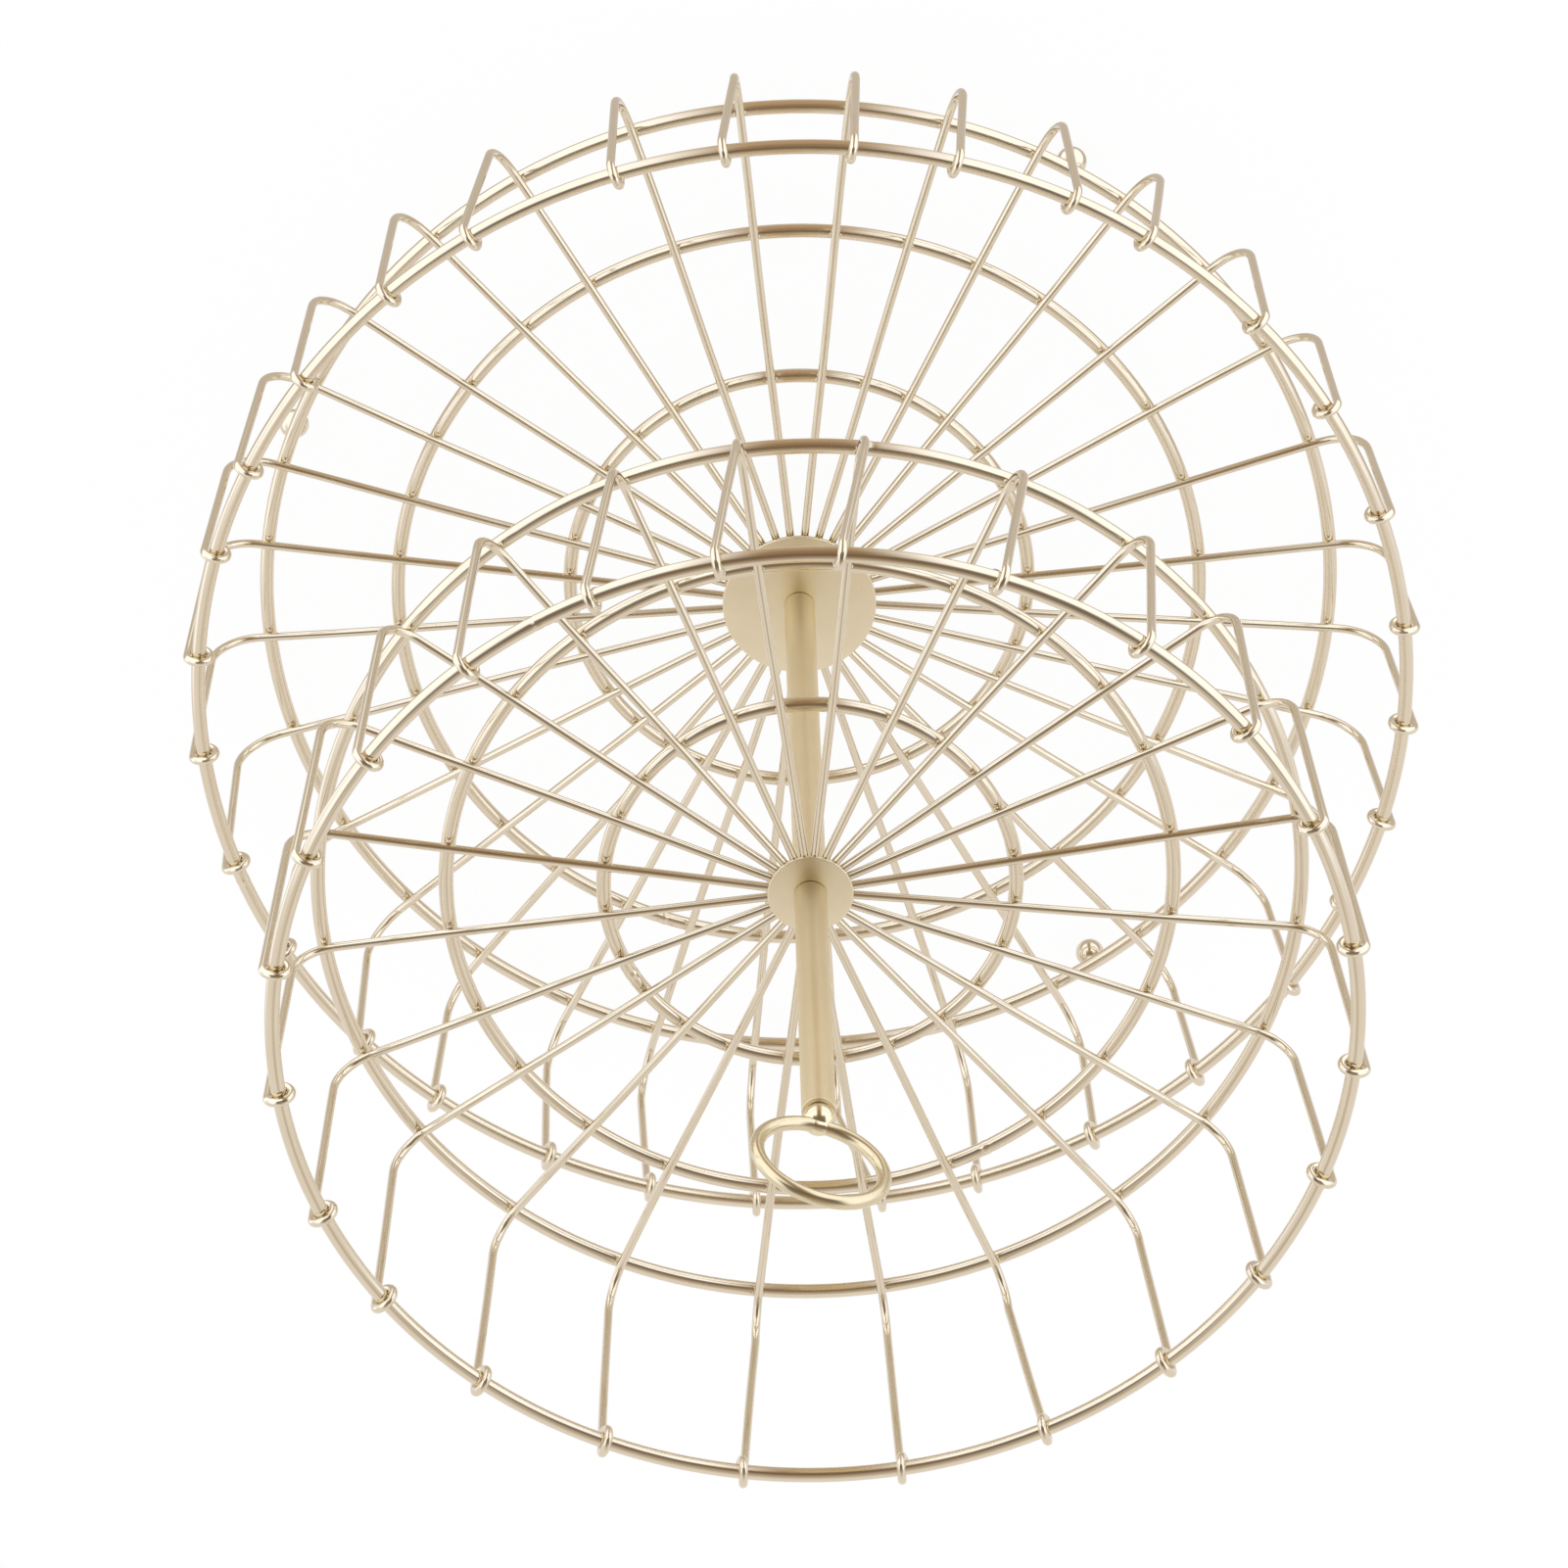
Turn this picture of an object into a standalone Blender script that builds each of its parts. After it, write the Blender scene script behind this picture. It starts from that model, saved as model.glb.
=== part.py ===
"""Two-tier wire fruit basket on a central post, with a ring handle on a ball finial.

The basket stands on three ball feet with its post upright along +Z. The origin is on
the post's axis at the level of the feet's flats. Each tier has four rings of thick
wire, round spokes of thin wire that lie over the floor rings, bend up into the wall
and wrap round the rim, and a hub plate over the inner ends of the spokes. The spokes
are laid by hand: evenly round the hub, but a little unevenly further out, and their
upright parts lean. The wraps of the right and left halves mirror each other. The tiers
are held by a post in two pieces, screwed together through the upper hub plate.
"""

import math

import bmesh
import bpy
from mathutils import Vector

MM = 0.001

# Wire, plate and the gap that is left between pieces that touch
ring_wire = 3.5 * MM
spoke_wire = 2.1 * MM
plate_thickness = 1.2 * MM
seat_gap = 0.3 * MM
cut_overrun = 1.0 * MM

# Lower tier, radii to the middle of the wire
lower_rim_radius = 150.0 * MM
lower_base_radius = 136.0 * MM
lower_middle_radius = 102.5 * MM
lower_inner_radius = 58.5 * MM
lower_depth = 55.0 * MM
lower_bend_radius = 12.0 * MM
lower_bend_past_ring = 2.2 * MM
lower_spoke_count = 32
lower_spoke_turn = math.radians(7.6)
lower_spoke_end = 14.0 * MM
lower_plate_lap = 5.6 * MM
lower_inner_shift = 4.0 * MM

# Upper tier, radii to the middle of the wire
upper_rim_radius = 123.4 * MM
upper_base_radius = 116.2 * MM
upper_middle_radius = 86.0 * MM
upper_inner_radius = 48.8 * MM
upper_depth = 66.4 * MM
upper_bend_radius = 10.0 * MM
upper_bend_past_ring = -2.7 * MM
upper_spoke_count = 24
upper_spoke_turn = math.radians(9.0)
upper_spoke_end = 8.2 * MM
upper_plate_lap = 2.0 * MM
upper_plate_sink = 0.6 * MM
tier_rise = 144.4 * MM

# How far each spoke stands off its even place at the base ring, as a share of the spacing
lower_spoke_place_shares = (
    -0.1, 0.0, 0.1, 0.1, 0.15, 0.1, 0.0, -0.1, -0.1, -0.1, 0.05, 0.05, 0.1, -0.05, -0.15, -0.3,
    -0.3, -0.25, -0.05, 0.0, -0.05, 0.0, -0.1, -0.1, -0.3, -0.1, 0.0, 0.0, 0.2, 0.15, 0.05, 0.0,
)
upper_spoke_place_shares = (
    0.05, 0.1, -0.05, -0.15, -0.1, 0.05, -0.05, -0.15, -0.05, -0.05, -0.15, -0.15,
    -0.1, -0.05, -0.2, -0.15, -0.15, 0.0, 0.0, -0.05, 0.1, 0.1, 0.05, 0.05,
)

# How far each spoke leans to the side on its way up to the rim, as a share of the spacing
lower_spoke_lean_shares = (
    0.1, 0.1, 0.1, 0.1, 0.25, 0.0, 0.1, 0.05, 0.1, 0.0, 0.15, 0.0, 0.0, 0.1, 0.05, 0.2,
    0.15, 0.2, -0.05, 0.05, -0.05, 0.05, 0.1, 0.05, 0.35, 0.0, 0.0, 0.1, 0.1, 0.05, 0.05, 0.05,
)
upper_spoke_lean_shares = (
    0.05, 0.05, 0.1, 0.2, 0.25, 0.2, 0.15, 0.15, 0.05, 0.05, 0.05, 0.0,
    0.0, 0.0, 0.0, -0.05, 0.0, -0.1, 0.05, 0.2, 0.1, 0.1, 0.1, 0.05,
)

# Wrap of a spoke's end round the rim, and the straight stub that it ends in
wrap_turn = math.radians(270.0)
wrap_side_step = 2.9 * MM
wrap_stub = 3.0 * MM

# Feet, placed by hand round the base ring
foot_diameter = 7.5 * MM
foot_flat_depth = 0.3 * MM
foot_turns = (60.5, 160.0, 305.0)

# Post in two pieces, with a threaded spigot and bores
post_diameter = 7.8 * MM
spigot_diameter = 4.0 * MM
spigot_length = 8.0 * MM
spigot_end_gap = 0.6 * MM
post_top_height = 252.9 * MM

# Screw and washer under the lower hub plate
screw_head_diameter = 8.0 * MM
screw_head_height = 2.4 * MM
screw_length = 10.0 * MM
screw_slot_width = 1.2 * MM
screw_slot_depth = 1.0 * MM
washer_diameter = 12.0 * MM
washer_thickness = 1.0 * MM

# Finial ball, and the handle ring that is let into its top
ball_diameter = 7.5 * MM
ball_seat_height = 2.35 * MM
handle_radius = 14.9 * MM
handle_wire = 2.8 * MM
handle_set_height = 2.5 * MM
handle_turn = math.radians(-16.5)

# Numbers of facets, and the angle above which an edge is shaded sharp
ring_segments = 44
middle_ring_segments = 36
small_ring_segments = 32
ring_sides = 6
bend_steps = 3
wrap_steps = 6
plate_steps = 28
post_steps = 16
ball_steps = 16
foot_steps = 12
sharp_angle = math.radians(50.0)

# Sizes and heights that follow from the ones above
foot_radius = foot_diameter / 2
foot_centre_height = foot_radius - foot_flat_depth
lower_ring_height = foot_centre_height + foot_radius + seat_gap + ring_wire / 2
upper_ring_height = lower_ring_height + tier_rise
spoke_over_ring = ring_wire / 2 + seat_gap + spoke_wire / 2
wrap_radius = spoke_over_ring / math.cos(wrap_turn / wrap_steps / 2)
lower_spoke_height = lower_ring_height + spoke_over_ring
upper_spoke_height = upper_ring_height + spoke_over_ring
upper_seat_radius = upper_bend_radius + spoke_over_ring
upper_seat_run = min(upper_bend_past_ring, 0.0)
upper_base_lift = upper_seat_radius - math.sqrt(upper_seat_radius**2 - upper_seat_run**2)
lower_plate_bottom = lower_spoke_height + spoke_wire / 2 + seat_gap
lower_plate_top = lower_plate_bottom + plate_thickness
upper_plate_bottom = upper_spoke_height + spoke_wire / 2 - upper_plate_sink
upper_plate_top = upper_plate_bottom + plate_thickness
lower_plate_radius = lower_spoke_end + lower_plate_lap
upper_plate_radius = upper_spoke_end + upper_plate_lap
bore_diameter = spigot_diameter + 2 * seat_gap
washer_top = lower_plate_bottom - seat_gap
washer_bottom = washer_top - washer_thickness
screw_head_top = washer_bottom - seat_gap
screw_head_bottom = screw_head_top - screw_head_height
screw_top = screw_head_top + screw_length
lower_post_bottom = lower_plate_top + seat_gap
lower_post_shoulder = upper_plate_bottom - seat_gap
upper_post_bottom = upper_plate_top + seat_gap
lower_spigot_top = upper_post_bottom + spigot_length
ball_base = post_top_height + seat_gap
ball_centre = ball_base + ball_seat_height
handle_centre = ball_centre + handle_set_height + handle_radius


def clear_scene():
    """Removes whatever the scene holds before the basket is built."""
    for thing in list(bpy.data.objects):
        bpy.data.objects.remove(thing, do_unlink=True)


def make_collection(name):
    """Returns a new collection linked to the scene."""
    collection = bpy.data.collections.new(name)
    bpy.context.scene.collection.children.link(collection)
    return collection


def make_material(name, colour, roughness):
    """Returns a plain metal finish."""
    material = bpy.data.materials.new(name)
    material.use_nodes = True
    shader = material.node_tree.nodes["Principled BSDF"]
    shader.inputs["Base Color"].default_value = (*colour, 1.0)
    shader.inputs["Roughness"].default_value = roughness
    shader.inputs["Metallic"].default_value = 1.0
    material.diffuse_color = (*colour, 1.0)
    return material


def place(name, data, collection, material):
    """Makes an object from a mesh or a curve and gives it its finish."""
    piece = bpy.data.objects.new(name, data)
    collection.objects.link(piece)
    if not data.materials:
        data.materials.append(material)
    return piece


def take_over(piece, name, collection, material):
    """Gives a primitive that was just added its name, its collection and its finish."""
    piece.name = name
    piece.data.name = name
    for owner in list(piece.users_collection):
        owner.objects.unlink(piece)
    collection.objects.link(piece)
    piece.data.materials.append(material)
    return piece


def as_cutter(piece):
    """Marks an object as a cutter, drawn as wire and left out of renders."""
    piece.hide_render = True
    piece.display_type = "WIRE"
    return piece


def evaluated_mesh(piece):
    """Returns a new mesh of the piece with its modifiers applied."""
    graph = bpy.context.evaluated_depsgraph_get()
    return bpy.data.meshes.new_from_object(piece.evaluated_get(graph))


def settle(piece):
    """Applies a piece's modifiers and shades it smooth, with its corners kept sharp."""
    mesh = evaluated_mesh(piece)
    piece.modifiers.clear()
    piece.data = mesh
    mesh.shade_smooth()
    mesh.set_sharp_from_angle(angle=sharp_angle)


def combine(piece, operation, cutter=None, collection=None):
    """Cuts the piece with a cutter, or joins it with all solids of a collection."""
    boolean = piece.modifiers.new(operation.lower(), "BOOLEAN")
    boolean.operation = operation
    boolean.solver = "EXACT"
    if collection is None:
        boolean.object = cutter
    else:
        boolean.operand_type = "COLLECTION"
        boolean.collection = collection


def turned(name, profile, steps, collection, material, closed=False):
    """Turns a profile of (radius, height) points, listed down its outer side, about Z."""
    mesh = bpy.data.meshes.new(name)
    points = [(radius, 0.0, height) for radius, height in profile]
    edges = [(i, i + 1) for i in range(len(points) - 1)]
    if closed:
        edges.append((len(points) - 1, 0))
    mesh.from_pydata(points, edges, [])
    piece = place(name, mesh, collection, material)
    screw = piece.modifiers.new("turn", "SCREW")
    screw.axis = "Z"
    screw.angle = 2 * math.pi
    screw.steps = steps
    screw.render_steps = steps
    screw.use_merge_vertices = True
    screw.merge_threshold = seat_gap / 100
    settle(piece)
    return piece


def arc(centre, radius, start, end, steps):
    """Returns points along an arc in a plane, both ends included."""
    points = []
    for i in range(steps + 1):
        angle = start + (end - start) * i / steps
        points.append((centre[0] + radius * math.cos(angle), centre[1] + radius * math.sin(angle)))
    return points


def wire_ring(name, radius, wire, height, segments, collection, material):
    """Makes a closed ring of round wire lying flat at a height."""
    bpy.ops.mesh.primitive_torus_add(
        major_radius=radius,
        minor_radius=wire / 2,
        major_segments=segments,
        minor_segments=ring_sides,
        location=(0.0, 0.0, height),
    )
    piece = take_over(bpy.context.object, name, collection, material)
    piece.data.shade_smooth()
    return piece


def spoke_points(shape, lean, side):
    """Returns the path of a spoke that runs out along X from its inner end.

    The floor run is level and ends in a bend. The riser is the straight line that
    touches both the bend's circle and the wrap's circle on their outer sides, and it
    leans sideways on the way up. The wrap goes over the rim, down its inner side and
    back under it, and steps aside as it goes, so that the stub points out beside the
    riser.
    """
    end_radius, bend_start, bend_radius, spoke_height, rim_radius, rim_height = shape
    bend_centre = (bend_start - end_radius, spoke_height + bend_radius)
    rim_centre = (math.sqrt(rim_radius**2 - lean**2) - end_radius, rim_height)
    run = rim_centre[0] - bend_centre[0]
    rise = rim_centre[1] - bend_centre[1]
    tilt = math.atan2(rise, run) + math.asin((bend_radius - wrap_radius) / math.hypot(run, rise))
    floor_angle = -math.pi / 2
    outer_angle = tilt - math.pi / 2
    last_angle = outer_angle + wrap_turn
    bend = arc(bend_centre, bend_radius, floor_angle, outer_angle, bend_steps)
    wrap = arc(rim_centre, wrap_radius, outer_angle, last_angle, wrap_steps)
    stub_end = (
        wrap[-1][0] - wrap_stub * math.sin(last_angle),
        wrap[-1][1] + wrap_stub * math.cos(last_angle),
    )
    points = [(0.0, 0.0, spoke_height)]
    for radius, height in bend:
        points.append((radius, 0.0, height))
    for i, (radius, height) in enumerate(wrap):
        points.append((radius, lean + side * wrap_side_step * i / wrap_steps, height))
    points.append((stub_end[0], lean + side * wrap_side_step, stub_end[1]))
    return points


def lay_spokes(name, shape, count, first_turn, place_shares, lean_shares, base_radius, collection, gold):
    """Lays a spoke from each even place at the hub to its own place at the base ring."""
    spacing = 2 * math.pi / count
    end_radius, rim_radius = shape[0], shape[4]
    spokes = []
    for i in range(count):
        even = first_turn + i * spacing
        laid = even + place_shares[i % len(place_shares)] * spacing
        lean = lean_shares[i % len(lean_shares)] * spacing * rim_radius
        side = 1 if math.cos(even) > 0 else -1
        end = Vector((math.cos(even), math.sin(even), 0.0)) * end_radius
        crossing = Vector((math.cos(laid), math.sin(laid), 0.0)) * base_radius
        spoke_name = "%s_%02d" % (name, i + 1)
        curve = wire_curve(spoke_name, spoke_points(shape, lean, side))
        spoke = place(spoke_name, curve, collection, gold)
        spoke.location = end
        spoke.rotation_euler[2] = math.atan2(crossing.y - end.y, crossing.x - end.x)
        spokes.append(spoke)
    return spokes


def wire_curve(name, points):
    """Returns curve data for spoke wire along straight runs between points."""
    curve = bpy.data.curves.new(name, "CURVE")
    curve.dimensions = "3D"
    curve.bevel_depth = spoke_wire / 2
    curve.bevel_resolution = 1
    curve.use_fill_caps = True
    spline = curve.splines.new("POLY")
    spline.points.add(len(points) - 1)
    for target, point in zip(spline.points, points):
        target.co = (*point, 1.0)
    return curve


def curve_to_mesh(piece, collection):
    """Makes a mesh object that takes a curve's place, with its caps joined on."""
    mesh = evaluated_mesh(piece)
    shape = bmesh.new()
    shape.from_mesh(mesh)
    bmesh.ops.remove_doubles(shape, verts=shape.verts, dist=seat_gap / 100)
    shape.to_mesh(mesh)
    shape.free()
    solid = bpy.data.objects.new(piece.name + "_solid", mesh)
    collection.objects.link(solid)
    solid.matrix_world = piece.matrix_world.copy()
    bpy.data.objects.remove(piece, do_unlink=True)
    return solid


def hub_plate(name, radius, bottom, top, collection, material):
    """Makes a round plate with a hole for the post's fastening."""
    bore = bore_diameter / 2
    profile = [(bore, top), (radius, top), (radius, bottom), (bore, bottom)]
    return turned(name, profile, plate_steps, collection, material, closed=True)


def lower_tier(parts, gold):
    """Makes the lower basket: four rings, the hub plate and the spokes.

    Its inner ring is welded a little off centre.
    """
    floor = lower_ring_height
    rim = floor + lower_depth
    wire_ring("lower_rim_ring", lower_rim_radius, ring_wire, rim, ring_segments, parts, gold)
    wire_ring("lower_base_ring", lower_base_radius, ring_wire, floor, ring_segments, parts, gold)
    wire_ring("lower_middle_ring", lower_middle_radius, ring_wire, floor, middle_ring_segments, parts, gold)
    inner = wire_ring(
        "lower_inner_ring", lower_inner_radius, ring_wire, floor, small_ring_segments, parts, gold
    )
    inner.location.y = lower_inner_shift
    hub_plate("lower_hub_plate", lower_plate_radius, lower_plate_bottom, lower_plate_top, parts, gold)
    bend_start = lower_base_radius + lower_bend_past_ring
    shape = (lower_spoke_end, bend_start, lower_bend_radius, lower_spoke_height, lower_rim_radius, rim)
    lay_spokes(
        "lower_spoke", shape, lower_spoke_count, lower_spoke_turn, lower_spoke_place_shares,
        lower_spoke_lean_shares, lower_base_radius, parts, gold,
    )


def upper_tier(parts, cutters, gold):
    """Makes the upper basket: four rings, and the hub plate with its spokes.

    Round this small plate the spokes crowd until they touch, so the plate and the
    spokes are one welded piece. The base ring lies under the start of the bends, so it
    sits a little higher than the other two floor rings.
    """
    floor = upper_ring_height
    rim = floor + upper_depth
    wire_ring("upper_rim_ring", upper_rim_radius, ring_wire, rim, ring_segments, parts, gold)
    base = floor + upper_base_lift
    wire_ring("upper_base_ring", upper_base_radius, ring_wire, base, ring_segments, parts, gold)
    wire_ring("upper_middle_ring", upper_middle_radius, ring_wire, floor, middle_ring_segments, parts, gold)
    wire_ring("upper_inner_ring", upper_inner_radius, ring_wire, floor, small_ring_segments, parts, gold)
    bend_start = upper_base_radius + upper_bend_past_ring
    shape = (upper_spoke_end, bend_start, upper_bend_radius, upper_spoke_height, upper_rim_radius, rim)
    spokes = bpy.data.collections.new("upper_spokes")
    cutters.children.link(spokes)
    wires = lay_spokes(
        "upper_spoke", shape, upper_spoke_count, upper_spoke_turn, upper_spoke_place_shares,
        upper_spoke_lean_shares, upper_base_radius, spokes, gold,
    )
    bpy.context.view_layer.update()
    for wire in wires:
        as_cutter(curve_to_mesh(wire, spokes))
    star_name = "upper_hub_and_spokes"
    star = hub_plate(star_name, upper_plate_radius, upper_plate_bottom, upper_plate_top, parts, gold)
    combine(star, "UNION", collection=spokes)
    settle(star)


def feet(parts, gold):
    """Makes the three ball feet under the base ring, each with a small flat to stand on."""
    flat_angle = -math.asin(foot_centre_height / foot_radius)
    profile = arc((0.0, foot_centre_height), foot_radius, math.pi / 2, flat_angle, foot_steps // 2)
    profile[0] = (0.0, profile[0][1])
    profile.append((0.0, 0.0))
    for i, turn in enumerate(foot_turns):
        foot = turned("foot_ball_%d" % (i + 1), profile, foot_steps, parts, gold)
        angle = math.radians(turn)
        foot.location = (lower_base_radius * math.cos(angle), lower_base_radius * math.sin(angle), 0.0)


def posts(parts, brass):
    """Makes both post pieces; the lower one's spigot goes through the upper hub plate."""
    radius = post_diameter / 2
    bore = bore_diameter / 2
    spigot = spigot_diameter / 2
    screw_bore_top = screw_top + spigot_end_gap
    lower = [
        (0.0, lower_spigot_top),
        (spigot, lower_spigot_top),
        (spigot, lower_post_shoulder),
        (radius, lower_post_shoulder),
        (radius, lower_post_bottom),
        (bore, lower_post_bottom),
        (bore, screw_bore_top),
        (0.0, screw_bore_top),
    ]
    turned("lower_post", lower, post_steps, parts, brass)
    spigot_bore_top = lower_spigot_top + spigot_end_gap
    ball_bore_bottom = ball_base - spigot_length - spigot_end_gap
    upper = [
        (0.0, ball_bore_bottom),
        (bore, ball_bore_bottom),
        (bore, post_top_height),
        (radius, post_top_height),
        (radius, upper_post_bottom),
        (bore, upper_post_bottom),
        (bore, spigot_bore_top),
        (0.0, spigot_bore_top),
    ]
    turned("upper_post", upper, post_steps, parts, brass)


def base_fastening(parts, cutters, steel):
    """Makes the slotted screw and its washer, which hold the post from under the plate."""
    shank = spigot_diameter / 2
    bore = bore_diameter / 2
    rim = washer_diameter / 2
    washer = [(bore, washer_top), (rim, washer_top), (rim, washer_bottom), (bore, washer_bottom)]
    turned("base_washer", washer, post_steps, parts, steel, closed=True)
    head = screw_head_diameter / 2
    crown = screw_head_height / 2
    screw = [
        (0.0, screw_top),
        (shank, screw_top),
        (shank, screw_head_top),
        (head, screw_head_top),
        (head, screw_head_bottom + crown),
        (head - crown / 2, screw_head_bottom + crown / 4),
        (head - crown, screw_head_bottom),
        (0.0, screw_head_bottom),
    ]
    piece = turned("base_screw", screw, post_steps, parts, steel)
    bpy.ops.mesh.primitive_cube_add(size=1.0)
    slot = take_over(bpy.context.object, "screw_slot_cutter", cutters, steel)
    slot.scale = (screw_head_diameter + 2 * cut_overrun, screw_slot_width, 2 * screw_slot_depth)
    slot.location = (0.0, 0.0, screw_head_bottom)
    combine(piece, "DIFFERENCE", cutter=as_cutter(slot))
    settle(piece)


def handle(parts, cutters, polished):
    """Makes the finial ball with its spigot, and the ring let into a groove in its top."""
    radius = ball_diameter / 2
    spigot = spigot_diameter / 2
    spigot_bottom = ball_base - spigot_length
    base_angle = -math.asin(ball_seat_height / radius)
    profile = arc((0.0, ball_centre), radius, math.pi / 2, base_angle, ball_steps // 2)
    profile[0] = (0.0, profile[0][1])
    profile.append((spigot, ball_base))
    profile.append((spigot, spigot_bottom))
    profile.append((0.0, spigot_bottom))
    ball = turned("finial_ball", profile, ball_steps, parts, polished)
    upright = (math.pi / 2, 0.0, handle_turn)
    groove_wire = handle_wire + 2 * seat_gap
    ring = wire_ring(
        "handle_ring", handle_radius, handle_wire, handle_centre, small_ring_segments, parts, polished
    )
    ring.rotation_euler = upright
    groove = wire_ring(
        "groove_cutter", handle_radius, groove_wire, handle_centre, small_ring_segments, cutters, polished
    )
    groove.rotation_euler = upright
    combine(ball, "DIFFERENCE", cutter=as_cutter(groove))
    settle(ball)


def build():
    """Builds the whole basket."""
    clear_scene()
    parts = make_collection("tiered_fruit_basket")
    cutters = make_collection("cutters")
    gold = make_material("satin_gold_wire", (0.79, 0.67, 0.45), 0.32)
    brass = make_material("brushed_gold_post", (0.66, 0.54, 0.35), 0.42)
    polished = make_material("polished_gold", (0.83, 0.70, 0.44), 0.12)
    steel = make_material("zinc_screw", (0.72, 0.73, 0.75), 0.30)
    lower_tier(parts, gold)
    upper_tier(parts, cutters, gold)
    feet(parts, gold)
    posts(parts, brass)
    base_fastening(parts, cutters, steel)
    handle(parts, cutters, polished)


build()
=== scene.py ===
"""Dresses the two-tier wire fruit basket: fine wires, welds, finishes, studio and camera."""
import math
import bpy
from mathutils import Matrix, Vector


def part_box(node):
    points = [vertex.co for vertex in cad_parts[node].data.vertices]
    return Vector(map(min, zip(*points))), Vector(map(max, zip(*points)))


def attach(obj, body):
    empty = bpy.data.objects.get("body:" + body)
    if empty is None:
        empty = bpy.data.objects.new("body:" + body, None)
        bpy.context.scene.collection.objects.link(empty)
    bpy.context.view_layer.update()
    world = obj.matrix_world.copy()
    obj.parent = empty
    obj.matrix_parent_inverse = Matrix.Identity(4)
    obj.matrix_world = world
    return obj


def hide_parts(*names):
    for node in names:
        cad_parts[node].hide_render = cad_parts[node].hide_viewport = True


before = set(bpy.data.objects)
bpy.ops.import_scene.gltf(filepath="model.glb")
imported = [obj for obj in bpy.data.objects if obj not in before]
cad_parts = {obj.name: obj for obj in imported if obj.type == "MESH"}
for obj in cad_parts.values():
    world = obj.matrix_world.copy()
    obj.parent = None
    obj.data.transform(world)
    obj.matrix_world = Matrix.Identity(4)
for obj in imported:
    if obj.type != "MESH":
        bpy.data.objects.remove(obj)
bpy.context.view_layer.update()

from types import SimpleNamespace

import bpy
import numpy as np
from mathutils import Matrix, Vector

rng = np.random.default_rng(11)

MM = 0.001
TAU = 2 * math.pi

# Wires, as in the frame
ring_wire = 3.5 * MM
spoke_wire = 2.1 * MM
plate_thickness = 1.2 * MM
seat_gap = 0.3 * MM
spoke_over_ring = ring_wire / 2 + seat_gap + spoke_wire / 2

# Wrap of a spoke's end round the rim, and the straight stub that it ends in
wrap_radius = ring_wire / 2 + 0.06 * MM + spoke_wire / 2
wrap_turn = math.radians(270.0)
wrap_side_step = 1.0 * MM
wrap_side_growth = 1.5
wrap_stub = 0.4 * MM

# Post, finial and feet, and the angle from which an edge of a turned piece is sharp
post_ease = 0.25 * MM
spigot_radius = 2.0 * MM
ball_radius = 3.75 * MM
turned_sharp_angle = math.radians(50)

# How far each spoke stands off its even place at the base ring, as a share of the spacing
lower_place_shares = (
    -0.1, 0.0, 0.1, 0.1, 0.15, 0.1, 0.0, -0.1, -0.1, -0.1, 0.05, 0.05, 0.1, -0.05, -0.15, -0.3,
    -0.3, -0.25, -0.05, 0.0, -0.05, 0.0, -0.1, -0.1, -0.3, -0.1, 0.0, 0.0, 0.2, 0.15, 0.05, 0.0,
)
upper_place_shares = (
    0.05, 0.1, -0.05, -0.15, -0.1, 0.05, -0.05, -0.15, -0.05, -0.05, -0.15, -0.15,
    -0.1, -0.05, -0.2, -0.15, -0.15, 0.0, 0.0, -0.05, 0.1, 0.1, 0.05, 0.05,
)

# How far each spoke leans to the side on its way up to the rim, as a share of the spacing
lower_lean_shares = (
    0.1, 0.1, 0.1, 0.1, 0.25, 0.0, 0.1, 0.05, 0.1, 0.0, 0.15, 0.0, 0.0, 0.1, 0.05, 0.2,
    0.15, 0.2, -0.05, 0.05, -0.05, 0.05, 0.1, 0.05, 0.35, 0.0, 0.0, 0.1, 0.1, 0.05, 0.05, 0.05,
)
upper_lean_shares = (
    0.05, 0.05, 0.1, 0.2, 0.25, 0.2, 0.15, 0.15, 0.05, 0.05, 0.05, 0.0,
    0.0, 0.0, 0.0, -0.05, 0.0, -0.1, 0.05, 0.2, 0.1, 0.1, 0.1, 0.05,
)

# Facets of the wires, a spoke's counted along its level run, bend, riser, wrap and stub
ring_steps = 288
small_ring_steps = 192
ring_sides = 24
spoke_sides = 16
level_steps = 24
bend_steps = 12
riser_steps = 10
wrap_steps = 32
stub_steps = 4
lathe_steps = 96
tent_steps = 64
foot_steps = 56
foot_weld_steps = 24


def ring_place(node):
    """Returns the centre of a flat ring and the radius to the middle of its wire."""
    low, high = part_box(node)
    return (low + high) / 2, (high.x - low.x) / 2 - ring_wire / 2


def tier(name, count, turn, place_shares, lean_shares, end, bend_radius, bend_past_ring):
    """Gathers what a basket's spokes need, with its rings' places taken from the frame."""
    rings = {part: ring_place("%s_%s_ring" % (name, part)) for part in ("rim", "base", "middle", "inner")}
    floor = rings["middle"][0].z
    return SimpleNamespace(
        name=name, count=count, turn=math.radians(turn), end=end,
        place_shares=np.array(place_shares), lean_shares=np.array(lean_shares),
        bend_radius=bend_radius, bend_start=rings["base"][1] + bend_past_ring,
        rings=rings, floor_rings=("base", "middle", "inner"), spoke_height=floor + spoke_over_ring,
        base_radius=rings["base"][1], rim_radius=rings["rim"][1], rim_height=rings["rim"][0].z,
    )


lower = tier("lower", 32, 7.6, lower_place_shares, lower_lean_shares, 14.0 * MM, 12.0 * MM, 2.2 * MM)
upper = tier("upper", 24, 9.0, upper_place_shares, upper_lean_shares, 8.2 * MM, 10.0 * MM, -2.7 * MM)


# Surfaces

def unit(vectors):
    """Returns vectors scaled to a length of one."""
    return vectors / np.linalg.norm(vectors, axis=-1, keepdims=True)


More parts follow.
